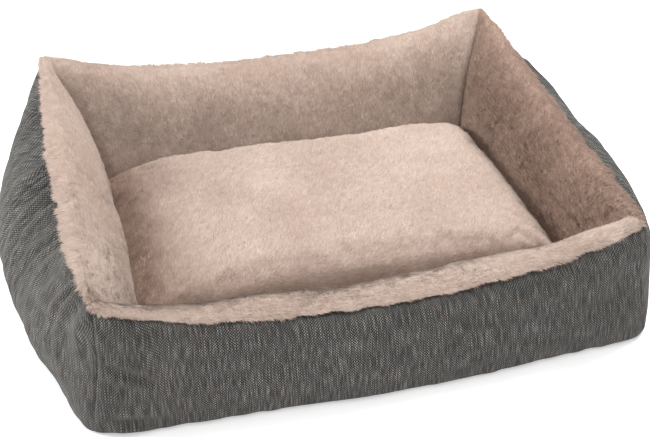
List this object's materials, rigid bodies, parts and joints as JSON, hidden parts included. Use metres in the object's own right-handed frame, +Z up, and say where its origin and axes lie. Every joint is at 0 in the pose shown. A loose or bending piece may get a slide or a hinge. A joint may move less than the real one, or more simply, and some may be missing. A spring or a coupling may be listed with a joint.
{
  "type": "pet bed",
  "caption": "Rectangular pet bed with stuffed walls, grey woven outside, beige plush inside and a loose zipped cushion in the well.",
  "frame": {"origin": "on the ground, under the middle of the bed's overall box", "axes": "+X along the length, to the right seen from the front; +Y from the low front wall to the high back wall; +Z up"},
  "size_m": [0.794, 0.612, 0.2085],
  "materials": {
    "grey_canvas": "coarse melange weave, matt",
    "wall_plush": "short dense plush pile",
    "cushion_plush": "short dense plush pile",
    "fibre_fill": "bonded polyester fibre",
    "base_cloth": "non-slip cloth with small raised dots",
    "zip_tape": "narrow herringbone tape",
    "zip_teeth": "moulded nylon",
    "zip_metal": "satin die-cast metal"
  },
  "bodies": {
    "bed": {"outer_panel_front": "grey_canvas", "outer_panel_right": "grey_canvas", "outer_panel_back": "grey_canvas", "outer_panel_left": "grey_canvas", "wall_lining_front": "wall_plush", "wall_lining_right": "wall_plush", "wall_lining_back": "wall_plush", "wall_lining_left": "wall_plush", "wall_filling_front": "fibre_fill", "wall_filling_right": "fibre_fill", "wall_filling_back": "fibre_fill", "wall_filling_left": "fibre_fill", "base_panel": "base_cloth", "base_padding": "fibre_fill", "floor_lining": "wall_plush"},
    "cushion": {"cushion_top_cover": "cushion_plush", "cushion_bottom_cover": "cushion_plush", "cushion_filling": "fibre_fill", "zip_tapes": "zip_tape", "zip_teeth": "zip_teeth", "zip_stops": "zip_metal"},
    "zip_slider": {"zip_slider": "zip_metal"}
  },
  "joints": [
    {"name": "cushion_lift", "type": "slide", "parent": "bed", "child": "cushion", "axis": [0, 0, 1], "range_m": [0, 0.25]},
    {"name": "zip_slide", "type": "slide", "parent": "cushion", "child": "zip_slider", "axis": [1, 0, 0], "range_m": [-0.29, 0]}
  ]
}
